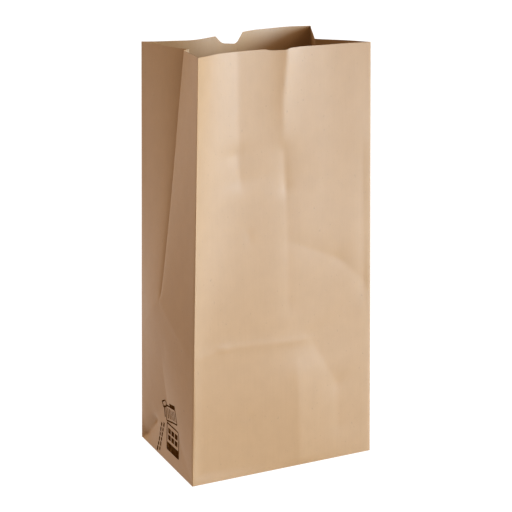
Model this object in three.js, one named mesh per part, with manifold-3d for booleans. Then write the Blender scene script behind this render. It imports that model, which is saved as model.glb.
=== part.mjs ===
// A brown paper lunch bag with side gussets and a folded block bottom, standing open.
// Millimetres, +Z up. The origin is the middle of the base, on the surface it stands on.
// -Y is the front panel and -X the left side. The whole bag is one glued sheet of kraft paper.

import * as THREE from 'three';
import { mergeVertices } from 'three/addons/utils/BufferGeometryUtils.js';
import Module from 'manifold-3d';

// Driving dimensions of the folded sheet.
const WIDTH = 133.35;
const DEPTH = 90;
const HEIGHT = 281;
const PAPER = 0.1;

// How far each corner of the mouth leans away from the base corner below it, as [x, y].
const CORNER_LEAN = {
  frontLeft: [5, -5.5],
  frontRight: [-1.5, 8.5],
  backRight: [-2.5, 0],
  backLeft: [2.5, -9.5],
};

// The front panel is dished at the mouth, and the dish dies away towards the storage crease.
const FRONT_DISH = 7.8;
const FRONT_DISH_FLATNESS = 1.8;
const DISH_FALL = 2.2;

// Beside its left fold the front panel curves inwards, over a wider band higher up.
const LEFT_CURL_SLOPE = 0.15;
const LEFT_CURL_WIDTH = [8, 44];
const LEFT_CURL_HEIGHTS = [85, 200];
const LEFT_CURL_FADE = 60;

// Its centre crease is pushed out into a ridge at the mouth.
const FRONT_RIDGE = 4.8;
const RIDGE_REACH = 11;
const RIDGE_START = 200;

// The back panel sways in towards its left edge and out towards its right edge.
const BACK_DISH = 6;
const BACK_SWAY = 8;

// The side folds start above a rounded belly and are deepest at the mouth.
const GUSSET_START = 109;
const LEFT_GUSSET = 12.5;
const RIGHT_GUSSET = 19;
const SIDE_BELLY = 5.5;

// The crease left across the front where the base was folded flat for storage.
const STORAGE_CREASE = 0.8;

// The thumb notch in the back rim: the x of its two ends at the rim and of the two ends of its
// floor, and how deep the floor lies there. Its lower corners curve from this far before them.
const NOTCH_RIM = [-15, 9.6];
const NOTCH_FLOOR = [-9.5, 3.7];
const NOTCH_DEPTH = [5.2, 7.2];
const NOTCH_CURVE = 2.5;

// The glued lap down the back panel, by the x of the sheet's two long edges.
const LAP_INNER_EDGE = 2.5;
const LAP_OUTER_EDGE = -12.5;
const LAP_RAMP = 8;

// The two closing flaps of the base reach this far past its centre line.
const FLAP_LAP = 12;
const FLAP = DEPTH / 2 + FLAP_LAP;
const SIDE_FLAP_FLOOR = 4 * PAPER;
const CLOSING_FLAP_FLOOR = 2 * PAPER;

const FACE_SEGMENTS = 16;
const SIDE_SEGMENTS = 8;
const UPPER_LEVELS = 10;

// Cutting solids run past the paper by this much.
const CLEAR = 1;

const wasm = await Module();
wasm.setup();

const baseCorner = {
  frontLeft: [-WIDTH / 2, -DEPTH / 2],
  frontRight: [WIDTH / 2, -DEPTH / 2],
  backRight: [WIDTH / 2, DEPTH / 2],
  backLeft: [-WIDTH / 2, DEPTH / 2],
};

// A tent over 0..1 that rises from 0 at both ends to 1 in the middle.
function tent(s) {
  return 1 - Math.abs(2 * s - 1);
}

// 0 at the low end of a range, 1 at its high end, and smooth between.
function smoothShare(x, [low, high]) {
  return THREE.MathUtils.smoothstep(x, low, high);
}

function cornerAt(name, z) {
  const rise = z / HEIGHT;
  const [x, y] = baseCorner[name];
  const [leanX, leanY] = CORNER_LEAN[name];
  return new THREE.Vector2(x + leanX * rise, y + leanY * rise);
}

// The inward curve beside the front panel's left fold.
function leftCurl(s, z) {
  const climb = smoothShare(z, LEFT_CURL_HEIGHTS);
  const width = THREE.MathUtils.lerp(...LEFT_CURL_WIDTH, climb);
  const fromFold = s * WIDTH;
  const curved = 1 - (1 - Math.min(1, fromFold / width)) ** 2;
  const fade = 1 - smoothShare(fromFold, [width, width + LEFT_CURL_FADE]);
  return LEFT_CURL_SLOPE * width * curved * fade * Math.min(1, z / LEFT_CURL_WIDTH[0]);
}

// Depths into the bag, at a share s of the way along a panel and a height z.
function frontDepth(s, z) {
  const dish = FRONT_DISH * Math.sin(Math.PI * s) + FRONT_DISH_FLATNESS * Math.sin(3 * Math.PI * s);
  const rise = Math.max(0, (z - DEPTH) / (HEIGHT - DEPTH)) ** DISH_FALL;
  const fromCrest = Math.abs(s - 0.5) * WIDTH;
  const inside = smoothShare(tent(s), [0, 0.3]) * smoothShare(z, [RIDGE_START, HEIGHT]);
  const ridge = FRONT_RIDGE * Math.exp(-fromCrest / RIDGE_REACH) * inside;
  const creased = Math.max(0, tent(z / (2 * DEPTH))) * Math.min(1, 4 * tent(s));
  return dish * rise + leftCurl(s, z) - ridge + STORAGE_CREASE * creased;
}

function backDepth(s, z) {
  const caved = BACK_DISH * Math.sin(Math.PI * s) - BACK_SWAY * Math.sin(2 * Math.PI * s);
  return (caved * z) / HEIGHT;
}

// Below the fold a side bellies out above the two slanted creases of the base, which run from
// the base corners to a point half the base's depth up. The belly fades out as the fold deepens.
function sideDepth(s, z, gusset) {
  const slant = (DEPTH / 2) * tent(s);
  if (z < GUSSET_START) {
    const climb = Math.max(0, z - slant) / (GUSSET_START - slant);
    return -SIDE_BELLY * Math.sin(Math.PI * s) * Math.sin((Math.PI / 2) * climb);
  }
  const fold = (z - GUSSET_START) / (HEIGHT - GUSSET_START);
  return gusset * fold * tent(s) - SIDE_BELLY * (1 - fold) * Math.sin(Math.PI * s);
}

// Stations along a panel: a share s of its width, and how far the outer and the inner face of
// the paper stand out there. Two values at one station make a step.
function evenStations(segments) {
  const flat = [0];
  return Array.from({ length: segments }, (_, i) => ({ s: i / segments, outer: flat, inner: flat }));
}

// The lap of the back panel: the outer layer ramps up over the edge of the inner one, and ends
// in a step where its own edge lies.
function backStations() {
  const shareAt = (x) => 0.5 - x / WIDTH;
  const lap = [
    { s: shareAt(LAP_INNER_EDGE + LAP_RAMP), outer: [0], inner: [0] },
    { s: shareAt(LAP_INNER_EDGE), outer: [PAPER], inner: [PAPER, 0] },
    { s: shareAt(LAP_OUTER_EDGE), outer: [PAPER, 0], inner: [0] },
  ];
  const outsideLap = ({ s }) => s < lap[0].s || s > lap[2].s;
  const stations = evenStations(FACE_SEGMENTS).filter(outsideLap);
  return [...stations, ...lap].sort((a, b) => a.s - b.s);
}

// The panels in order round the bag, counterclockwise from above.
const panels = [
  { from: 'frontLeft', to: 'frontRight', depth: frontDepth, stations: evenStations(FACE_SEGMENTS) },
  {
    from: 'frontRight',
    to: 'backRight',
    depth: (s, z) => sideDepth(s, z, RIGHT_GUSSET),
    stations: evenStations(SIDE_SEGMENTS),
  },
  { from: 'backRight', to: 'backLeft', depth: backDepth, stations: backStations() },
  {
    from: 'backLeft',
    to: 'frontLeft',
    depth: (s, z) => sideDepth(s, z, LEFT_GUSSET),
    stations: evenStations(SIDE_SEGMENTS),
  },
];

// The points of the outer face at one height, each with the step of its station.
function outerPoints(z) {
  return panels.flatMap(({ from, to, depth, stations }) => {
    const start = cornerAt(from, z);
    const along = cornerAt(to, z).sub(start);
    const inward = new THREE.Vector2(-along.y, along.x).normalize();
    return stations.map((station) => ({
      station,
      point: start.clone().addScaledVector(along, station.s)
        .addScaledVector(inward, depth(station.s, z)),
    }));
  });
}

// The outward vector at a point that keeps both neighbouring faces parallel when offset by 1.
function mitre(before, point, after) {
  const normalOf = (a, b) => new THREE.Vector2(b.y - a.y, a.x - b.x).normalize();
  const first = normalOf(before, point);
  const second = normalOf(point, after);
  return first.clone().add(second).divideScalar(1 + first.dot(second));
}

// A closed ring of the paper's outer or inner face at one height.
function ring(face, z, level) {
  const points = outerPoints(Math.min(z, HEIGHT));
  const count = points.length;
  const thickness = face === 'inner' ? PAPER : 0;
  return points.flatMap(({ station, point }, i) => {
    const before = points[(i + count - 1) % count].point;
    const after = points[(i + 1) % count].point;
    const outward = mitre(before, point, after);
    return station[face].map((step) => {
      const place = point.clone().addScaledVector(outward, step - thickness);
      return new THREE.Vector3(place.x, place.y, level);
    });
  });
}

// A closed solid through rings with equal numbers of points, lowest first.
function loft(rings) {
  const count = rings[0].length;
  const indices = [];
  for (let level = 0; level + 1 < rings.length; level += 1) {
    for (let i = 0; i < count; i += 1) {
      const next = (i + 1) % count;
      const low = level * count;
      const high = low + count;
      indices.push(low + i, low + next, high + next);
      indices.push(low + i, high + next, high + i);
    }
  }
  const top = (rings.length - 1) * count;
  const flat = (points) => points.map(({ x, y }) => new THREE.Vector2(x, y));
  for (const [a, b, c] of THREE.ShapeUtils.triangulateShape(flat(rings[0]), [])) {
    indices.push(c, b, a);
  }
  for (const [a, b, c] of THREE.ShapeUtils.triangulateShape(flat(rings.at(-1)), [])) {
    indices.push(top + a, top + b, top + c);
  }
  const geometry = new THREE.BufferGeometry().setFromPoints(rings.flat());
  geometry.setIndex(indices);
  return geometry;
}

// Heights of the sections: close together over the slanted creases of the base, wider above.
function sectionHeights() {
  const base = [0, 1, 2, 3, 4].map((k) => (k * DEPTH) / 8);
  const middle = [0.75 * DEPTH, DEPTH, GUSSET_START];
  const upper = Array.from({ length: UPPER_LEVELS }, (_, k) => (
    GUSSET_START + ((k + 1) * (HEIGHT - GUSSET_START)) / UPPER_LEVELS
  ));
  return [...base, ...middle, ...upper];
}

function solidOf(geometry) {
  const bare = geometry.index ? geometry : geometry.clone();
  bare.deleteAttribute('normal');
  bare.deleteAttribute('uv');
  const merged = mergeVertices(bare);
  return new wasm.Manifold(new wasm.Mesh({
    numProp: 3,
    vertProperties: Float32Array.from(merged.attributes.position.array),
    triVerts: Uint32Array.from(merged.index.array),
  }));
}

function geometryOf(solid) {
  const mesh = solid.getMesh();
  const geometry = new THREE.BufferGeometry();
  geometry.setAttribute('position', new THREE.BufferAttribute(mesh.vertProperties, 3));
  geometry.setIndex(new THREE.BufferAttribute(mesh.triVerts, 1));
  geometry.computeVertexNormals();
  return geometry;
}

// An upright prism over a flat outline, from one height to another.
function prism(points, bottom, top) {
  const shape = new THREE.Shape(points.map(([x, y]) => new THREE.Vector2(x, y)));
  const geometry = new THREE.ExtrudeGeometry(shape, { depth: top - bottom, bevelEnabled: false });
  return solidOf(geometry.translate(0, 0, bottom));
}

// The space inside the walls, from the side flaps of the floor out through the mouth.
function cavity() {
  const heights = sectionHeights();
  const rings = heights.map((z, i) => ring('inner', z, i === 0 ? SIDE_FLAP_FLOOR : z));
  rings[rings.length - 1] = ring('inner', HEIGHT, HEIGHT + CLEAR);
  return solidOf(loft(rings));
}

// The strip of floor between the two side flaps, which lies two layers lower.
function floorStrip() {
  const halfLength = WIDTH / 2 - FLAP;
  const halfWidth = DEPTH / 2 - 2 * PAPER;
  return prism([
    [-halfLength, -halfWidth],
    [halfLength, -halfWidth],
    [halfLength, halfWidth],
    [-halfLength, halfWidth],
  ], CLOSING_FLAP_FLOOR, CLEAR);
}

// Under the base the back flap lies outermost. Its slanted ends run at 45 degrees from the base
// corners, and beyond its long edge the front flap shows one layer higher.
function frontFlapRecess() {
  const outerX = WIDTH / 2 + CLEAR;
  const outerY = -DEPTH / 2 - CLEAR;
  const crossing = WIDTH / 2 - DEPTH / 2;
  const flapEnd = WIDTH / 2 - FLAP;
  return prism([
    [-outerX, outerY],
    [outerX, outerY],
    [crossing, 0],
    [flapEnd, -FLAP_LAP],
    [-flapEnd, -FLAP_LAP],
    [-crossing, 0],
  ], -CLEAR, PAPER);
}

// At each end of the base a triangle of the side flap shows between the closing flaps.
function sideFlapRecess(side) {
  const outerX = side * (WIDTH / 2 + CLEAR);
  const outerY = DEPTH / 2 + CLEAR;
  const tip = side * (WIDTH / 2 - DEPTH / 2);
  return prism([[outerX, -outerY], [outerX, outerY], [tip, 0]], -CLEAR, 3 * PAPER);
}

// The thumb notch: a shallow cut with sloping ends and curved lower corners, through the back
// panel only. end 0 is its left end seen from the front, end 1 its right.
function thumbNotch() {
  const corner = [0, 1].map((end) => new THREE.Vector2(NOTCH_FLOOR[end], HEIGHT - NOTCH_DEPTH[end]));
  const brim = [0, 1].map((end) => {
    const rim = new THREE.Vector2(NOTCH_RIM[end], HEIGHT);
    const slope = rim.clone().sub(corner[end]);
    return rim.addScaledVector(slope, CLEAR / NOTCH_DEPTH[end]);
  });
  const beside = (from, to) => to.clone().sub(from).setLength(NOTCH_CURVE).add(from);
  const shape = new THREE.Shape();
  shape.moveTo(brim[1].x, brim[1].y);
  shape.lineTo(brim[0].x, brim[0].y);
  for (const end of [0, 1]) {
    const before = beside(corner[end], end === 0 ? brim[0] : corner[0]);
    const after = beside(corner[end], end === 0 ? corner[1] : brim[1]);
    shape.lineTo(before.x, before.y);
    shape.quadraticCurveTo(corner[end].x, corner[end].y, after.x, after.y);
  }
  const geometry = new THREE.ExtrudeGeometry(shape, {
    depth: DEPTH / 2,
    bevelEnabled: false,
    curveSegments: 6,
  });
  return solidOf(geometry.rotateX(Math.PI / 2).translate(0, DEPTH / 2 + DEPTH / 8, 0));
}

function paperBag() {
  const outside = solidOf(loft(sectionHeights().map((z) => ring('outer', z, z))));
  const bag = outside
    .subtract(cavity())
    .subtract(floorStrip())
    .subtract(frontFlapRecess())
    .subtract(sideFlapRecess(-1))
    .subtract(sideFlapRecess(1))
    .subtract(thumbNotch());
  const kraft = new THREE.MeshStandardMaterial({ color: 0xd2b495, roughness: 0.92, metalness: 0 });
  const mesh = new THREE.Mesh(geometryOf(bag), kraft);
  mesh.name = 'paper_bag';
  return mesh;
}

const group = new THREE.Group();
group.add(paperBag());

export default group;
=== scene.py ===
"""A brown paper lunch bag, standing open on a pale floor.

Lengths are in millimetres until a mesh is written, and MM turns them into metres.
-Y is the front panel, -X the left side, and the bag stands on Z = 0.
"""

import math
from collections import namedtuple

import bmesh
import bpy
import numpy as np
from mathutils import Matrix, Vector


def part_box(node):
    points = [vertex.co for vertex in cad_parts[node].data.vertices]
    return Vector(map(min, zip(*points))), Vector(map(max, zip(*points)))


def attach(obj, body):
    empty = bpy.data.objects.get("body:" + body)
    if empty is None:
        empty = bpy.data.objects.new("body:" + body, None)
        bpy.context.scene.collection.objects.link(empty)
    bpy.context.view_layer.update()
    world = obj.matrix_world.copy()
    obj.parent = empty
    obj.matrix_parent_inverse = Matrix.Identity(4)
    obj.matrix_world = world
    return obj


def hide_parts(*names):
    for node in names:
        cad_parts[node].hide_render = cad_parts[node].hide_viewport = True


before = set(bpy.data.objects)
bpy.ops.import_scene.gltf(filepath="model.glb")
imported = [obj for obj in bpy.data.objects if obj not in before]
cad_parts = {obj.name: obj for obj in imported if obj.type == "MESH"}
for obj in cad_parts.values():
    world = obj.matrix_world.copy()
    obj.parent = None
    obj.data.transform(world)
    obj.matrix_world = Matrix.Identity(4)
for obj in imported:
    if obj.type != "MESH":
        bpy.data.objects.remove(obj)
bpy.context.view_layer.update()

MM = 0.001
NODE = "paper_bag"
BODY = "root"
LOW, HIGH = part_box(NODE)

# The folded sheet.
WIDTH = 133.35
DEPTH = 90.0
HEIGHT = (HIGH[2] - LOW[2]) / MM
PAPER = 0.1
FLAP_LAP = 12.0
FLAP = DEPTH / 2 + FLAP_LAP
CLOSING_FLAPS_TOP = 2 * PAPER
CORNER_ROUNDING = 0.6
SMOOTH_ANGLE = math.radians(50)

# How far each corner of the mouth leans away from the base corner below it, in x and y.
CORNER_LEAN = {
    "front_left": (5.0, -5.5),
    "front_right": (-1.5, 8.5),
    "back_left": (2.5, -9.5),
    "back_right": (-2.5, 0.0),
}

# Heights of the two creases that the folded base leaves in the walls.
BASE_FOLD = DEPTH / 2
STORAGE_LINE = DEPTH

# The front panel is dished at the mouth, and the dish dies away towards the storage line.
FRONT_DISH = 8.2
FRONT_DISH_FLATNESS = 2.6
DISH_FALL = 1.7

# Beside its left fold the front panel curves inwards, over a wider band higher up.
LEFT_CURL_SLOPE = 0.11
LEFT_CURL_LOW = 8.0
LEFT_CURL_HIGH = 37.0
LEFT_CURL_START = 85.0
LEFT_CURL_FULL = 200.0
LEFT_CURL_FADE = 60.0
LEFT_CURL_FOOT = 8.0

# The centre crease is pushed out into a ridge at the mouth.
FRONT_RIDGE = 3.3
RIDGE_X_LOW = 1.3
RIDGE_X_MOUTH = 4.5
RIDGE_REACH_LEFT = 14.0
RIDGE_REACH_RIGHT = 10.0
RIDGE_START = 200.0
RIDGE_TURN = 246.0
RIDGE_MARGIN = 0.3

# The front swells most at BASE_SWELL_Z, and lies flat again at BASE_SWELL_END times that height.
BASE_SWELL = 1.4
BASE_SWELL_Z = 45.0
BASE_SWELL_END = 2.2

# The back panel at the mouth.
BACK_DISH = 6.0
BACK_SWAY = 8.0

# The sides belly out above the folded base, and fold inwards from GUSSET_START up. On the left
# side a share of the fold is pinched in close to its middle line.
GUSSET_START = 109.0
LEFT_GUSSET = 13.6
RIGHT_GUSSET = 19.0
SIDE_BELLY = 5.5
LEFT_PINCH = 0.3
RIGHT_PINCH = 0.0
PINCH_FRONT = 1.2
PINCH_BACK_LOW = 3.0
PINCH_BACK_MOUTH = 11.0

# The cut rim isn't quite level. Its rises and drops die away down the walls as a power of height.
RIM_DIP = 0.9
RIM_DIP_START = (-10.0, -8.0)
RIM_DIP_END = (3.0, 7.0)
FRONT_LEFT_RISE = 0.7
RIM_CORNER_REACH = 6.0
BACK_LEFT_DROP = 1.1
BACK_RIM_CLIMB = (-40.0, -15.0)
LEFT_FOLD_DROP = 0.9
RIGHT_FOLD_DROP = 2.2
RIM_WAVE = 0.1
RIM_WAVE_X = 5.1
RIM_WAVE_Y = 7.3
RIM_DROP_POWER = 6

# The thumb notch in the back rim: the x of its ends at the rim and of the ends of its floor, and
# how deep the floor lies there, left then right.
NOTCH_RIM = (-15.0, 9.6)
NOTCH_FLOOR = (-9.5, 3.7)
NOTCH_DEPTH = (5.2, 7.2)
NOTCH_CURVE = 2.5
NOTCH_OVERSHOOT = 6.0
NOTCH_CUTTER_LENGTH = 60.0

# The glued lap down the back panel.
LAP_INNER_EDGE = 2.5
LAP_OUTER_EDGE = -12.5
LAP_RAMP = 8.0
LAP_EDGE_WIDTH = 0.3

# The paper is rubbed paler along its folds and along the edge of the lap.
CORNER_WEAR_REACH = 1.2
CREASE_WEAR_REACH = 0.9
CREASE_WEAR_END = 2.0
LAP_WEAR = 0.8
LAP_WEAR_REACH = 0.6

# Slack paper lies in a few shallow waves, each longer than the last and turned from it. WAVE_ACROSS
# and WAVE_UP hold the first wave's length and how much each one adds.
WAVES = 5
WAVE_DEPTH = 0.16
WAVE_TURN = 2.4
WAVE_PANEL_TURN = 1.7
WAVE_ACROSS = (17, 5)
WAVE_UP = (23, 6)

# How far the waves and the pressed creases keep off a panel's folds, as shares of half its
# width, and off the base.
WAVE_MARGIN = 0.22
WAVE_FOOT = 25.0
CREASE_MARGIN = 0.06
CREASE_FOOT = 4.0

# The ink lies on the paper as a very thin film.
INK_GAP = 0.015
INK_THICKNESS = 0.015

# Spacing of the grids that the walls and the printed marks are cut into.
COARSE_GRID = 24.0
FINE_GRID = 1.9
MARK_GRID = 2

# What counts as the same place, as on a panel, as the same length, and as along an axis.
NEAR = 0.01
ON_PANEL = 0.001
SAME_LENGTH = 0.02
PARALLEL = 0.999

# A fold line in a panel. start and end are (distance across the panel, height). depth is how far
# it is pressed in, or out when negative. It dies away over reach = (left, right) of the way from
# start to end, and over fade past its ends.
Crease = namedtuple("Crease", "start end depth reach fade")

FRONT_CREASES = (
    Crease((-31, 281), (-31, 222), 0.7, (8, 8), 10),
    Crease((-33, 215), (-31, 201), 0.8, (8, 9), 6),
    Crease((1.5, 216), (2.5, 194), 0.7, (5, 5), 6),
    Crease((2.5, 190), (3, 114), 0.3, (6, 5), 6),
    Crease((-63, 88), (-45, 92), -0.3, (2.5, 2.5), 4),
    Crease((-45, 92), (19, 89), -0.35, (2.5, 2.5), 4),
    Crease((19.5, 89), (40, 54), 0.5, (16, 8), 6),
    Crease((40, 52), (41, 24), 0.5, (16, 8), 8),
    Crease((9, 66), (12, 4), -0.8, (14, 10), 10),
    Crease((9, 155), (40, 141), 0.4, (9, 9), 8),
    Crease((42, 140), (63, 121), 0.4, (9, 9), 6),
    Crease((61, 121), (61, 203), 0.35, (6, 3), 10),
)
FRONT_DIMPLES = (
    ((-25, 163), (2.5, 5), 0.25),
    ((-26, 42), (2.5, 2.5), 0.25),
)
LEFT_CREASES = (
    Crease((0, 117), (-34, 93), -0.35, (3, 6), 5),
    Crease((0, 117), (34, 88), -0.35, (6, 3), 5),
    Crease((0, 120), (0, 281), 0.6, (1.2, 1.2), 3),
    Crease((-6, 88), (-6, 78), 0.25, (2, 2), 2),
    Crease((45, 0), (24, 20), 3.6, (7, 4), 7),
    Crease((-43, 3), (-20, 26), 0.3, (5, 5), 6),
)
RIGHT_CREASES = (
    Crease((0, 115), (-33, 90), -0.35, (3, 6), 5),
    Crease((0, 115), (35, 91), -0.35, (6, 3), 5),
    Crease((-43, 3), (-18, 28), 0.6, (5, 7), 6),
    Crease((43, 3), (14, 32), 0.5, (7, 5), 6),
    Crease((8, 74), (10, 62), 0.25, (2, 2), 2),
)
BACK_CREASES = (
    Crease((-58, 89), (52, 87), -0.25, (2.5, 2.5), 4),
    Crease((44, 196), (24, 168), 0.6, (12, 9), 8),
    Crease((-44, 150), (-60, 118), 0.5, (8, 10), 8),
)


# ---------------------------------------------------------------- helpers

def deselect_all():
    if bpy.context.object and bpy.context.object.mode != "OBJECT":
        bpy.ops.object.mode_set(mode="OBJECT")
    bpy.ops.object.select_all(action="DESELECT")


def pick(piece):
    deselect_all()
    piece.select_set(True)
    bpy.context.view_layer.objects.active = piece


def name_piece(name):
    piece = bpy.context.object
    piece.name = name
    piece.data.name = name
    return piece


def apply_place(piece):
    pick(piece)
    bpy.ops.object.transform_apply(location=True, rotation=True, scale=True)


def edit(piece, mode):
    pick(piece)
    bpy.ops.object.mode_set(mode="EDIT")
    bpy.ops.mesh.select_mode(type=mode)
    bpy.ops.mesh.select_all(action="DESELECT")


def select_where(piece, kind, test):
    """Select the verts, edges or faces for which test is true, in edit mode."""
    mesh = bmesh.from_edit_mesh(piece.data)
    for item in getattr(mesh, kind):
        item.select = test(item)
    mesh.select_flush_mode()
    bmesh.update_edit_mesh(piece.data)


def finish_edit():
    bpy.ops.object.mode_set(mode="OBJECT")


def apply_modifiers(piece):
    pick(piece)
    for modifier in list(piece.modifiers):
        bpy.ops.object.modifier_apply(modifier=modifier.name)


def thicken(piece, thickness, offset):
    wall = piece.modifiers.new("paper", "SOLIDIFY")
    wall.thickness = thickness * MM
    wall.offset = offset
    wall.use_even_offset = True
    apply_modifiers(piece)


def add_box(name, centre, size):
    deselect_all()
    bpy.ops.mesh.primitive_cube_add(size=1, location=[c * MM for c in centre])
    piece = name_piece(name)
    piece.scale = [length * MM for length in size]
    apply_place(piece)
    return piece


def read_points(piece):
    flat = np.empty(len(piece.data.vertices) * 3)
    piece.data.vertices.foreach_get("co", flat)
    return flat.reshape(-1, 3) / MM


def write_points(piece, points):
    piece.data.vertices.foreach_set("co", (points * MM).ravel())
    piece.data.update()


def smoothstep(x, low, high):
    t = np.clip((x - low) / (high - low), 0.0, 1.0)
    return t * t * (3.0 - 2.0 * t)


def tent(s):
    return 1.0 - np.abs(2.0 * s - 1.0)


# ---------------------------------------------------------------- form of the paper

def way_along(u, z, fold):
    """Distance to the side of a crease, positive on its left, and distance past its ends."""
    along_u = fold.end[0] - fold.start[0]
    along_z = fold.end[1] - fold.start[1]
    length = math.hypot(along_u, along_z)
    run = ((u - fold.start[0]) * along_u + (z - fold.start[1]) * along_z) / length
    side = ((z - fold.start[1]) * along_u - (u - fold.start[0]) * along_z) / length
    past = np.maximum(0.0, np.maximum(-run, run - length))
    return side, past


def crease_depth(u, z, fold):
    side, past = way_along(u, z, fold)
    reach = np.where(side > 0.0, fold.reach[0], fold.reach[1])
    return fold.depth * np.exp(-np.abs(side) / reach) * np.exp(-((past / fold.fade) ** 2))


def crease_wear(u, z, fold):
    side, past = way_along(u, z, fold)
    fall = np.exp(-((side / CREASE_WEAR_REACH) ** 2) - (past / CREASE_WEAR_END) ** 2)
    return min(1.0, abs(fold.depth)) * fall


def dimple(u, z, centre, radii, depth):
    across = (u - centre[0]) / radii[0]
    up = (z - centre[1]) / radii[1]
    return depth * np.exp(-(across**2) - up**2)


def undulation(u, z, seed):
    """Shallow waves of slack paper, a few tenths of a millimetre deep."""
    waves = 0.0
    for k in range(WAVES):
        turn = seed * WAVE_PANEL_TURN + k * WAVE_TURN
        across = math.cos(turn) / (WAVE_ACROSS[0] + WAVE_ACROSS[1] * k)
        up = math.sin(turn) / (WAVE_UP[0] + WAVE_UP[1] * k)
        waves = waves + math.cos(seed + k) * np.sin(u * across * 2 + z * up * 2 + turn * 3)
    return WAVE_DEPTH * waves


def calm_edges(s, z):
    """1 in the middle of a panel, falling to 0 at its folds and at the base."""
    return smoothstep(tent(s), 0.0, WAVE_MARGIN) * smoothstep(z, 0.0, WAVE_FOOT)


def base_swell(s, z):
    rise = np.clip(z / BASE_SWELL_Z, 0.0, 1.0)
    fall = smoothstep(z, BASE_SWELL_Z, BASE_SWELL_END * BASE_SWELL_Z)
    return BASE_SWELL * np.sin(math.pi * s) ** 0.5 * np.sin(math.pi / 2 * rise) * (1 - fall)


def left_curl(u, z):
    share = np.clip((z - LEFT_CURL_START) / (LEFT_CURL_FULL - LEFT_CURL_START), 0.0, 1.0)
    width = LEFT_CURL_LOW + (LEFT_CURL_HIGH - LEFT_CURL_LOW) * share
    from_fold = u + WIDTH / 2
    curved = 1 - (1 - np.clip(from_fold / width, 0.0, 1.0)) ** 2
    fade = 1 - smoothstep(from_fold, width, width + LEFT_CURL_FADE)
    return LEFT_CURL_SLOPE * width * curved * fade * smoothstep(z, 0.0, LEFT_CURL_FOOT)


def mouth_ridge(u, z):
    crest = RIDGE_X_LOW + (RIDGE_X_MOUTH - RIDGE_X_LOW) * smoothstep(z, RIDGE_TURN, HEIGHT)
    reach = np.where(u < crest, RIDGE_REACH_LEFT, RIDGE_REACH_RIGHT)
    return FRONT_RIDGE * np.exp(-np.abs(u - crest) / reach) * smoothstep(z, RIDGE_START, HEIGHT)


def front_form(u, z):
    s = u / WIDTH + 0.5
    rise = np.clip((z - STORAGE_LINE) / (HEIGHT - STORAGE_LINE), 0.0, 1.0) ** DISH_FALL
    flatness = FRONT_DISH_FLATNESS * (1 - s) ** 2
    dish = FRONT_DISH * np.sin(math.pi * s) + flatness * np.sin(3 * math.pi * s)
    ridge = mouth_ridge(u, z) * smoothstep(tent(s), 0.0, RIDGE_MARGIN)
    return dish * rise + left_curl(u, z) - ridge - base_swell(s, z)


def back_form(u, z):
    s = u / WIDTH + 0.5
    return (BACK_DISH * np.sin(math.pi * s) + BACK_SWAY * np.sin(2 * math.pi * s)) * z / HEIGHT


def side_form(v, z, gusset, pinch_share):
    s = v / DEPTH + 0.5
    slant = BASE_FOLD * tent(s)
    climb = np.clip((z - slant) / (GUSSET_START - slant), 0.0, 1.0)
    below = -SIDE_BELLY * np.sin(math.pi * s) * np.sin(math.pi / 2 * climb)
    fold = np.clip((z - GUSSET_START) / (HEIGHT - GUSSET_START), 0.0, 1.0)
    reach = np.where(v < 0, PINCH_FRONT, PINCH_BACK_LOW + (PINCH_BACK_MOUTH - PINCH_BACK_LOW) * fold)
    pinch = np.exp(-np.abs(v) / reach)
    leaf = (1 - pinch_share) * tent(s) + pinch_share * pinch
    above = gusset * fold * leaf - SIDE_BELLY * (1 - fold) * np.sin(math.pi * s)
    return np.where(z < GUSSET_START, below, above)


def left_form(v, z):
    return side_form(v, z, LEFT_GUSSET, LEFT_PINCH)


def right_form(v, z):
    return side_form(v, z, RIGHT_GUSSET, RIGHT_PINCH)


# How far the cut rim lies below the mouth's height on each panel.

def front_rim(u):
    dip = smoothstep(u, *RIM_DIP_START) * (1 - smoothstep(u, *RIM_DIP_END))
    return RIM_DIP * dip - FRONT_LEFT_RISE * np.exp(-(u + WIDTH / 2) / RIM_CORNER_REACH)


def back_rim(u):
    return BACK_LEFT_DROP * (1 - smoothstep(u, *BACK_RIM_CLIMB))


def left_rim(v):
    t = v / DEPTH + 0.5
    return BACK_LEFT_DROP * t - FRONT_LEFT_RISE * (1 - t) + LEFT_FOLD_DROP * tent(t)


def right_rim(v):
    return RIGHT_FOLD_DROP * tent(v / DEPTH + 0.5)


def corner_rim(x, y):
    """The same at the rounded corner folds, which lie between the panels."""
    return np.where(x < 0, np.where(y > 0, BACK_LEFT_DROP, -FRONT_LEFT_RISE), 0.0)


Panel = namedtuple("Panel", "start end span form rim creases dimples seed")
PANELS = {
    "front": Panel(
        "front_left", "front_right", WIDTH, front_form, front_rim, FRONT_CREASES, FRONT_DIMPLES, 1
    ),
    "right": Panel("front_right", "back_right", DEPTH, right_form, right_rim, RIGHT_CREASES, (), 2),
    "back": Panel("back_right", "back_left", WIDTH, back_form, back_rim, BACK_CREASES, (), 3),
    "left": Panel("back_left", "front_left", DEPTH, left_form, left_rim, LEFT_CREASES, (), 4),
}


def panel_depth(panel, u, z):
    """How far the paper lies inside the straight line between a panel's two corners."""
    calm = calm_edges(u / panel.span + 0.5, z)
    detail = undulation(u, z, panel.seed)
    for centre, radii, depth in panel.dimples:
        detail = detail + dimple(u, z, centre, radii, depth)
    folds = sum(crease_depth(u, z, fold) for fold in panel.creases)
    ends = smoothstep(tent(u / panel.span + 0.5), 0.0, CREASE_MARGIN)
    ends = ends * smoothstep(z, 0.0, CREASE_FOOT)
    return panel.form(u, z) + detail * calm + folds * ends


def panel_masks(points):
    """Which points of the straight box lie on each panel, and their distance across it."""
    x, y, _ = points.T
    return {
        "front": (y < -DEPTH / 2 + ON_PANEL, x),
        "right": (x > WIDTH / 2 - ON_PANEL, y),
        "back": (y > DEPTH / 2 - ON_PANEL, x),
        "left": (x < -WIDTH / 2 + ON_PANEL, y),
    }


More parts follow.
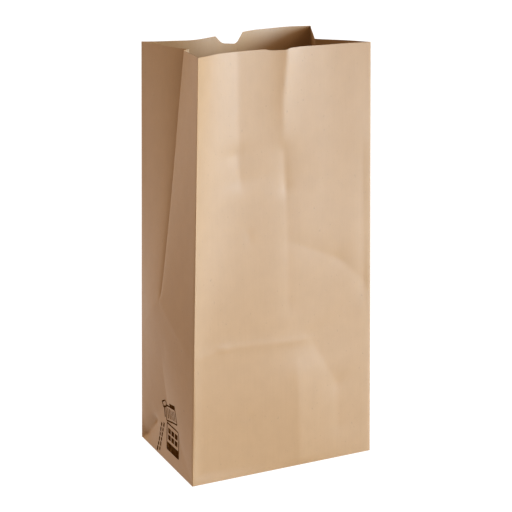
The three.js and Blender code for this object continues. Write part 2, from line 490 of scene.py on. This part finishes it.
def leaned_corner(name, z):
    x = -WIDTH / 2 if name.endswith("left") else WIDTH / 2
    y = -DEPTH / 2 if name.startswith("front") else DEPTH / 2
    lean_x, lean_y = CORNER_LEAN[name]
    return x + lean_x * z / HEIGHT, y + lean_y * z / HEIGHT


def inward(start, end):
    """The unit vector to the left of the way from one corner to the next."""
    along_x = end[0] - start[0]
    along_y = end[1] - start[1]
    length = np.hypot(along_x, along_y)
    return -along_y / length, along_x / length


def shape_walls(points, proud=0.0):
    """Move rows of x, y, z from the straight box onto the standing bag, proud of it if asked."""
    x, y, z = points.T
    corner = {name: leaned_corner(name, z) for name in CORNER_LEAN}
    s = x / WIDTH + 0.5
    t = y / DEPTH + 0.5
    shares = {
        "front_left": (1 - s) * (1 - t),
        "front_right": s * (1 - t),
        "back_left": (1 - s) * t,
        "back_right": s * t,
    }
    new_x = sum(shares[name] * corner[name][0] for name in corner)
    new_y = sum(shares[name] * corner[name][1] for name in corner)
    wave = RIM_WAVE * np.sin(x / RIM_WAVE_X + 1) * np.sin(y / RIM_WAVE_Y + 2)
    drop = wave + corner_rim(x, y)
    for name, (mask, across) in panel_masks(points).items():
        panel = PANELS[name]
        in_x, in_y = inward(corner[panel.start], corner[panel.end])
        depth = np.where(mask, panel_depth(panel, across, z) - proud, 0.0)
        new_x = new_x + depth * in_x
        new_y = new_y + depth * in_y
        drop = np.where(mask, wave + panel.rim(across), drop)
    new_z = z - drop * (z / HEIGHT) ** RIM_DROP_POWER
    return np.column_stack((new_x, new_y, new_z))


def fold_wear(points):
    """How rubbed the sheet is, from 0 to 1: on its corner folds, its creases and its lap's edge."""
    x, y, z = points.T
    corner = np.hypot(np.abs(x) - WIDTH / 2, np.abs(y) - DEPTH / 2)
    wear = np.exp(-((corner / CORNER_WEAR_REACH) ** 2))
    from_lap = np.hypot(x - LAP_OUTER_EDGE, y - DEPTH / 2)
    wear = np.maximum(wear, LAP_WEAR * np.exp(-((from_lap / LAP_WEAR_REACH) ** 2)))
    for name, (mask, across) in panel_masks(points).items():
        for fold in PANELS[name].creases:
            wear = np.maximum(wear, np.where(mask, crease_wear(across, z, fold), 0.0))
    return wear


# ---------------------------------------------------------------- the sheet

def runs_along(edge, axis):
    way = edge.verts[1].co - edge.verts[0].co
    return abs(way[axis]) > PARALLEL * way.length


def straight_box():
    """Four flat panels, open above and below, cut at the side folds and the lap's two edges."""
    middle = (0, 0, (HEIGHT + CLOSING_FLAPS_TOP) / 2)
    piece = add_box("bag_sheet", middle, (WIDTH, DEPTH, HEIGHT - CLOSING_FLAPS_TOP))
    edit(piece, "FACE")
    select_where(piece, "faces", lambda face: abs(face.normal.z) > 0.5)
    bpy.ops.mesh.delete(type="FACE")
    cuts = (
        ((0, 0, 0), (0, 1, 0)),
        ((LAP_INNER_EDGE * MM, 0, 0), (1, 0, 0)),
        ((LAP_OUTER_EDGE * MM, 0, 0), (1, 0, 0)),
    )
    for place, normal in cuts:
        bpy.ops.mesh.select_all(action="SELECT")
        bpy.ops.mesh.bisect(plane_co=place, plane_no=normal)
    finish_edit()
    return piece


def upright_at(edge, x, y):
    place = edge.verts[0].co / MM
    return runs_along(edge, 2) and math.hypot(abs(place.x) - x, abs(place.y) - y) < NEAR


def lap_edge(edge):
    place = edge.verts[0].co / MM
    at_lap = min(abs(place.x - LAP_INNER_EDGE), abs(place.x - LAP_OUTER_EDGE)) < NEAR
    return runs_along(edge, 2) and at_lap and place.y > 0


def notch_corner(edge):
    return runs_along(edge, 1) and edge.verts[0].co.z < HEIGHT * MM


def widen_fold(piece, test, width, segments):
    edit(piece, "EDGE")
    select_where(piece, "edges", test)
    bpy.ops.mesh.bevel(offset=width * MM, segments=segments)
    finish_edit()


def round_folds(piece):
    corners = (WIDTH / 2, DEPTH / 2)
    side_folds = (WIDTH / 2, 0)
    widen_fold(piece, lambda edge: upright_at(edge, *corners), CORNER_ROUNDING, segments=3)
    widen_fold(piece, lambda edge: upright_at(edge, *side_folds), CORNER_ROUNDING, segments=2)
    widen_fold(piece, lap_edge, LAP_EDGE_WIDTH / 2, segments=1)


def split_evenly(piece, axis, spacing):
    """Cut every edge along an axis that is longer than the spacing into equal parts."""
    mesh = piece.data
    lengths = set()
    for edge in mesh.edges:
        way = mesh.vertices[edge.vertices[1]].co - mesh.vertices[edge.vertices[0]].co
        if abs(way[axis]) > PARALLEL * way.length and way.length > 1.5 * spacing * MM:
            lengths.add(round(way.length / MM, 2))
    for length in sorted(lengths):
        def is_this_long(edge, length=length):
            return runs_along(edge, axis) and abs(edge.calc_length() / MM - length) < SAME_LENGTH
        edit(piece, "EDGE")
        select_where(piece, "edges", is_this_long)
        bpy.ops.mesh.subdivide(number_cuts=max(1, round(length / spacing) - 1))
        finish_edit()


def close_floor(piece):
    top = (CLOSING_FLAPS_TOP + NEAR) * MM
    edit(piece, "EDGE")
    select_where(piece, "edges", lambda edge: max(vert.co.z for vert in edge.verts) < top)
    bpy.ops.mesh.edge_face_add()
    bpy.ops.mesh.select_all(action="SELECT")
    bpy.ops.mesh.normals_make_consistent(inside=False)
    finish_edit()


def step_at_lap(piece, flat):
    """Lift the outer layer of the lap by one sheet. flat holds the outer face's points."""
    x, y, z = np.tile(flat, (2, 1)).T
    half = LAP_EDGE_WIDTH / 2
    lifted = 1 - smoothstep(x, LAP_INNER_EDGE + half, LAP_INNER_EDGE + LAP_RAMP)
    is_outer = np.arange(len(x)) < len(flat)
    lifted = lifted * np.where(is_outer, x > LAP_OUTER_EDGE, x > LAP_INNER_EDGE) * (y > 0)
    corners = [leaned_corner(name, z) for name in ("back_right", "back_left")]
    in_x, in_y = inward(*corners)
    points = read_points(piece)
    points[:, 0] -= PAPER * lifted * in_x
    points[:, 1] -= PAPER * lifted * in_y
    write_points(piece, points)


def notch_cutter():
    """A block with sloping ends and curved lower corners, taller than the notch.

    It starts as a square bar through the back panel, and its corners then move to the notch's.
    """
    cutter = add_box("notch_cutter", (0, DEPTH / 2, HEIGHT), (2, NOTCH_CUTTER_LENGTH, 2))
    points = read_points(cutter)
    end = (points[:, 0] > 0).astype(int)
    floor_x = np.array(NOTCH_FLOOR)[end]
    depth = np.array(NOTCH_DEPTH)[end]
    brim_x = floor_x + (np.array(NOTCH_RIM)[end] - floor_x) * (depth + NOTCH_OVERSHOOT) / depth
    is_brim = points[:, 2] > HEIGHT
    points[:, 0] = np.where(is_brim, brim_x, floor_x)
    points[:, 2] = HEIGHT + np.where(is_brim, NOTCH_OVERSHOOT, -depth)
    write_points(cutter, points)
    widen_fold(cutter, notch_corner, NOTCH_CURVE, segments=6)
    return cutter


def cut_thumb_notch(piece):
    cutter = notch_cutter()
    notch = piece.modifiers.new("notch", "BOOLEAN")
    notch.operation = "DIFFERENCE"
    notch.solver = "EXACT"
    notch.object = cutter
    apply_modifiers(piece)
    bpy.data.objects.remove(cutter)


def bag_sheet():
    piece = straight_box()
    round_folds(piece)
    for spacing in (COARSE_GRID, FINE_GRID):
        for axis in range(3):
            split_evenly(piece, axis, spacing)
    close_floor(piece)
    flat = read_points(piece)
    wear = piece.data.attributes.new("fold_wear", "FLOAT", "POINT")
    wear.data.foreach_set("value", fold_wear(flat))
    write_points(piece, shape_walls(flat))
    thicken(piece, PAPER, -1)
    step_at_lap(piece, flat)
    cut_thumb_notch(piece)
    pick(piece)
    bpy.ops.object.shade_smooth_by_angle(angle=SMOOTH_ANGLE)
    return piece


# ---------------------------------------------------------------- the base

def base_flap(name, side, low):
    """A closing flap of the base, as a sheet with ends cut at 45 degrees from its fold.

    side is 1 for the flap folded in from the back and -1 from the front, and low is its underside.
    """
    centre_y = side * (DEPTH - FLAP) / 2
    piece = add_box(name, (0, centre_y, low + PAPER / 2), (WIDTH, FLAP, PAPER))
    tip_y = side * (DEPTH / 2 - FLAP)
    edit(piece, "VERT")
    select_where(piece, "verts", lambda vert: abs(vert.co.y / MM - tip_y) < NEAR)
    bpy.ops.transform.resize(
        value=((WIDTH / 2 - FLAP) / (WIDTH / 2), 1, 1),
        center_override=(0, tip_y * MM, low * MM),
    )
    finish_edit()
    return piece


def side_flap(name, side):
    """An inner flap of the base, clear of the walls and just above the closing flaps.

    side is 1 on the right and -1 on the left.
    """
    width = FLAP - 2 * PAPER
    centre_x = side * (WIDTH / 2 - 2 * PAPER - width / 2)
    middle = (centre_x, 0, CLOSING_FLAPS_TOP + 1.5 * PAPER)
    return add_box(name, middle, (width, DEPTH - 6 * PAPER, PAPER))


# ---------------------------------------------------------------- the print

# Plain marks printed at the foot of the left side. across and up are a mark's middle on the panel,
# and slant turns it in the panel's plane, in degrees.
Mark = namedtuple("Mark", "across up width height slant")
FRAME_LINE = 1.1

STRIPED_FRAME = Mark(-9.5, 37.4, 20, 10.5, 12)
STRIPE = Mark(-2.9, 36.0, 1.2, 7, 12)
STRIPE_STEP = (-3.3, 0.7)
STRIPES = 5
TOP_BAR = Mark(-12.5, 45, 12, 2, 12)
END_BAR = Mark(3, 35.5, 1.4, 8, 14)
END_FRAME = Mark(3.5, 40.8, 6, 4, 25)

# Two strokes side by side in each row, every other one shorter, drifting backwards as they go down.
STROKE = Mark(4.2, 25, 1.9, 3.6, -14)
STROKE_ROWS = 6
STROKE_DROP = 4.1
STROKE_DRIFT = 0.36
STROKE_STEP = (4.2, -1.2)
STROKE_SHORTER = 0.7

BANDED_FRAME = Mark(-11.5, 19.5, 20, 19, 0)
BAND = Mark(-11.5, 12.8, 19, 5.4, 0)
BLOCK = Mark(-5.9, 19.3, 4.4, 3.6, 0)
BLOCK_STEP = (-5.6, 4.9)


def framed(outline):
    """The four lines of an outlined rectangle."""
    across, up, width, height, slant = outline
    turn = math.radians(slant)
    out_across = -math.sin(turn) * height / 2
    out_up = math.cos(turn) * height / 2
    side_across = -math.cos(turn) * width / 2
    side_up = math.sin(turn) * width / 2
    return [
        Mark(across - out_across, up + out_up, width, FRAME_LINE, slant),
        Mark(across + out_across, up - out_up, width, FRAME_LINE, slant),
        Mark(across + side_across, up + side_up, FRAME_LINE, height, slant),
        Mark(across - side_across, up - side_up, FRAME_LINE, height, slant),
    ]


def moved(mark, across, up):
    return mark._replace(across=mark.across + across, up=mark.up + up)


def striped_panel():
    marks = framed(STRIPED_FRAME)
    for step in range(STRIPES):
        marks.append(moved(STRIPE, STRIPE_STEP[0] * step, STRIPE_STEP[1] * step))
    return marks + [TOP_BAR, END_BAR] + framed(END_FRAME)


def stroke_column():
    marks = []
    for row in range(STROKE_ROWS):
        drop = STROKE_DROP * row
        for step in range(2):
            across = STROKE_DRIFT * drop + STROKE_STEP[0] * step
            stroke = moved(STROKE, across, STROKE_STEP[1] * step - drop)
            shorter = STROKE_SHORTER * ((row + step) % 2)
            marks.append(stroke._replace(height=stroke.height - shorter))
    return marks


def banded_panel():
    marks = framed(BANDED_FRAME) + [BAND]
    for row in range(2):
        for step in range(3):
            marks.append(moved(BLOCK, BLOCK_STEP[0] * step, BLOCK_STEP[1] * row))
    return marks


def add_mark(mark):
    bpy.ops.mesh.primitive_grid_add(
        x_subdivisions=max(1, round(mark.width / MARK_GRID)),
        y_subdivisions=max(1, round(mark.height / MARK_GRID)),
        size=1,
        location=(-WIDTH / 2 * MM, mark.across * MM, mark.up * MM),
        rotation=(math.pi / 2, -math.radians(mark.slant), -math.pi / 2),
    )
    piece = bpy.context.object
    piece.scale = (mark.width * MM, mark.height * MM, 1)
    apply_place(piece)
    return piece


def side_print():
    pieces = [add_mark(mark) for mark in striped_panel() + stroke_column() + banded_panel()]
    deselect_all()
    for piece in pieces:
        piece.select_set(True)
    bpy.context.view_layer.objects.active = pieces[0]
    bpy.ops.object.join()
    ink = name_piece("side_print")
    write_points(ink, shape_walls(read_points(ink), proud=INK_GAP))
    thicken(ink, INK_THICKNESS, 1)
    return ink


# ---------------------------------------------------------------- materials

class Nodes:
    """Short calls for building one material's node tree."""

    def __init__(self, name):
        self.material = bpy.data.materials.new(name)
        self.material.use_nodes = True
        self.tree = self.material.node_tree
        self.shader = self.tree.nodes["Principled BSDF"]

    def add(self, kind, **settings):
        node = self.tree.nodes.new(kind)
        for key, value in settings.items():
            setattr(node, key, value)
        return node

    def link(self, source, target):
        self.tree.links.new(source, target)

    def grain(self, scale, stretch, detail):
        """Noise on the piece's own coordinates. A stretch below 1 makes it longer that way."""
        place = self.add("ShaderNodeTexCoord")
        mapping = self.add("ShaderNodeMapping")
        mapping.inputs["Scale"].default_value = stretch
        noise = self.add("ShaderNodeTexNoise")
        noise.inputs["Scale"].default_value = scale
        noise.inputs["Detail"].default_value = detail
        self.link(place.outputs["Object"], mapping.inputs["Vector"])
        self.link(mapping.outputs["Vector"], noise.inputs["Vector"])
        return noise.outputs["Fac"]

    def remap(self, value, source, target):
        """Carry one range of a value onto another, and hold it at the ends."""
        node = self.add("ShaderNodeMapRange")
        node.inputs["From Min"].default_value = source[0]
        node.inputs["From Max"].default_value = source[1]
        node.inputs["To Min"].default_value = target[0]
        node.inputs["To Max"].default_value = target[1]
        self.link(value, node.inputs["Value"])
        return node.outputs["Result"]

    def math(self, operation, first, second):
        node = self.add("ShaderNodeMath", operation=operation)
        for socket, value in zip(node.inputs, (first, second)):
            if isinstance(value, (int, float)):
                socket.default_value = value
            else:
                self.link(value, socket)
        return node.outputs["Value"]

    def mix(self, share, first, second):
        node = self.add("ShaderNodeMix", data_type="RGBA")
        colour_sockets = [socket for socket in node.inputs if socket.type == "RGBA"]
        sockets = [node.inputs[0]] + colour_sockets
        for socket, value in zip(sockets, (share, first, second)):
            if isinstance(value, (int, float, tuple)):
                socket.default_value = value
            else:
                self.link(value, socket)
        return next(socket for socket in node.outputs if socket.type == "RGBA")

    def blend(self, parts):
        """The sum of several values, each with its share."""
        total = None
        for value, share in parts:
            part = self.math("MULTIPLY", value, share)
            total = part if total is None else self.math("ADD", total, part)
        return total

    def attribute(self, name):
        return self.add("ShaderNodeAttribute", attribute_name=name).outputs["Fac"]


# The paper: its middle tone, the tones of its fibres, and the dark flecks in the pulp.
KRAFT = (0.372, 0.208, 0.086, 1)
KRAFT_DARK = (0.337, 0.185, 0.075, 1)
KRAFT_LIGHT = (0.407, 0.231, 0.1, 1)
KRAFT_EVENNESS = 0.45
KRAFT_ROUGHNESS = (0.5, 0.6)
KRAFT_GLOSS = 0.8
FIBRE_RANGE = (0.3, 0.7)
FIBRE_RELIEF = 0.25
FIBRE_HEIGHT = 0.06 * MM
FLECK = (0.2, 0.11, 0.055, 1)
FLECK_RANGE = (0.72, 0.8)
FLECK_STRENGTH = 0.45
FOLD_PALENESS = 0.35

# The ink: dark brown and matt, with dry patches where the paper shows through.
INK = (0.055, 0.022, 0.006, 1)
INK_ROUGHNESS = 0.8
DRY_RANGE = (0.52, 0.64)
DRY_STRENGTH = 0.4


def kraft_paper():
    kraft = Nodes("kraft_paper")
    cloud = kraft.grain(scale=110, stretch=(1, 1, 0.8), detail=3)
    streaks = kraft.grain(scale=900, stretch=(1, 1, 0.03), detail=2)
    fibres = kraft.grain(scale=1500, stretch=(1, 1, 0.3), detail=3)
    flecks = kraft.grain(scale=750, stretch=(1, 1, 0.55), detail=1)
    pulp = kraft.blend(((cloud, 0.5), (streaks, 0.2), (fibres, 0.3)))
    tone = kraft.mix(kraft.remap(pulp, FIBRE_RANGE, (0, 1)), KRAFT_DARK, KRAFT_LIGHT)
    tone = kraft.mix(KRAFT_EVENNESS, tone, KRAFT)
    tone = kraft.mix(kraft.remap(flecks, FLECK_RANGE, (0, FLECK_STRENGTH)), tone, FLECK)
    rubbed = kraft.math("MULTIPLY", kraft.attribute("fold_wear"), FOLD_PALENESS)
    tone = kraft.mix(rubbed, tone, KRAFT_LIGHT)
    roughness = kraft.remap(fibres, FIBRE_RANGE, KRAFT_ROUGHNESS)
    kraft.link(tone, kraft.shader.inputs["Base Color"])
    kraft.link(roughness, kraft.shader.inputs["Roughness"])
    kraft.shader.inputs["Specular IOR Level"].default_value = KRAFT_GLOSS
    bump = kraft.add("ShaderNodeBump")
    bump.inputs["Strength"].default_value = FIBRE_RELIEF
    bump.inputs["Distance"].default_value = FIBRE_HEIGHT
    kraft.link(fibres, bump.inputs["Height"])
    kraft.link(bump.outputs["Normal"], kraft.shader.inputs["Normal"])
    return kraft.material


def print_ink():
    ink = Nodes("print_ink")
    patches = ink.grain(scale=260, stretch=(1, 1, 1), detail=3)
    specks = ink.grain(scale=1400, stretch=(1, 1, 1), detail=2)
    dry = ink.blend(((patches, 0.6), (specks, 0.4)))
    tone = ink.mix(ink.remap(dry, DRY_RANGE, (0, DRY_STRENGTH)), INK, KRAFT_DARK)
    ink.link(tone, ink.shader.inputs["Base Color"])
    ink.shader.inputs["Roughness"].default_value = INK_ROUGHNESS
    ink.shader.inputs["Specular IOR Level"].default_value = 0
    return ink.material


# ---------------------------------------------------------------- stage

# The floor lies a hair below the bag, so that the two faces never share a plane. FLOOR_GAP is in
# millimetres, and the sizes of the studio are in metres.
FLOOR_GAP = 0.05
FLOOR_SIZE = 100
BACKDROP_RADIUS = 6.5
STUDIO_GREY = (0.12, 0.12, 0.12, 1)
STUDIO_ROUGHNESS = 0.9
STUDIO_GLOW = 1.0

WORLD_COLOUR = (1, 0.76, 0.51, 1)
WORLD_STRENGTH = 0.48
LAMP_HEIGHT = 3

# The camera: its place in metres, and its turn in degrees down from level and to the right.
CAMERA_PLACE = (-0.413, -0.863, 0.426)
CAMERA_DOWN = 16.84
CAMERA_RIGHT = 25.63
CAMERA_LENS = 104.8
CAMERA_SENSOR = 36


def studio_white():
    """A surface that glows an even white."""
    white = Nodes("studio_white")
    white.shader.inputs["Base Color"].default_value = STUDIO_GREY
    white.shader.inputs["Roughness"].default_value = STUDIO_ROUGHNESS
    white.shader.inputs["Emission Color"].default_value = (1, 1, 1, 1)
    white.shader.inputs["Emission Strength"].default_value = STUDIO_GLOW
    return white.material


def studio():
    """A floor and a round backdrop. Their glow adds no diffuse light to the paper."""
    white = studio_white()
    deselect_all()
    bpy.ops.mesh.primitive_plane_add(size=FLOOR_SIZE, location=(0, 0, -FLOOR_GAP * MM))
    floor = name_piece("floor")
    deselect_all()
    bpy.ops.mesh.primitive_uv_sphere_add(radius=BACKDROP_RADIUS)
    backdrop = name_piece("backdrop")
    backdrop.visible_glossy = False
    backdrop.visible_shadow = False
    for surface in (floor, backdrop):
        surface.data.materials.append(white)
        surface.visible_diffuse = False


def sun(name, bearing, height, energy, spread, colour):
    """A distant light, with its angles in degrees.

    bearing is to the right of the front panel's outward normal, and height is above level.
    """
    bpy.ops.object.light_add(type="SUN", location=(0, 0, LAMP_HEIGHT))
    lamp = bpy.context.object
    lamp.name = name
    lamp.data.energy = energy
    lamp.data.color = colour
    lamp.data.angle = math.radians(spread)
    lamp.rotation_euler = (math.radians(90 - height), 0, math.radians(bearing))


def lights():
    sun("key_light", bearing=48, height=2, energy=9.4, spread=42, colour=(0.517, 0.758, 1.0))
    sun("fill_light", bearing=35, height=22, energy=1.3, spread=50, colour=(1.0, 0.84, 0.7))
    sun("side_light", bearing=-145, height=14, energy=0.8, spread=30, colour=(1.0, 0.76, 0.5))
    world = bpy.data.worlds.new("studio")
    world.use_nodes = True
    background = world.node_tree.nodes["Background"]
    background.inputs["Color"].default_value = WORLD_COLOUR
    background.inputs["Strength"].default_value = WORLD_STRENGTH
    bpy.context.scene.world = world
    bpy.context.scene.view_settings.view_transform = "Standard"


def camera():
    bpy.ops.object.camera_add(
        location=CAMERA_PLACE,
        rotation=(math.radians(90 - CAMERA_DOWN), 0, math.radians(-CAMERA_RIGHT)),
    )
    view = bpy.context.object
    view.name = "camera"
    view.data.lens = CAMERA_LENS
    view.data.sensor_width = CAMERA_SENSOR
    bpy.context.scene.camera = view


# ---------------------------------------------------------------- assembly

camera()
lights()
studio()

paper = [
    bag_sheet(),
    base_flap("back_closing_flap", 1, 0.0),
    base_flap("front_closing_flap", -1, PAPER),
    side_flap("left_side_flap", -1),
    side_flap("right_side_flap", 1),
]
prints = [side_print()]
for pieces, material in ((paper, kraft_paper()), (prints, print_ink())):
    for piece in pieces:
        piece.data.materials.clear()
        piece.data.materials.append(material)
        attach(piece, BODY)
for piece in paper + prints:
    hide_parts(NODE)
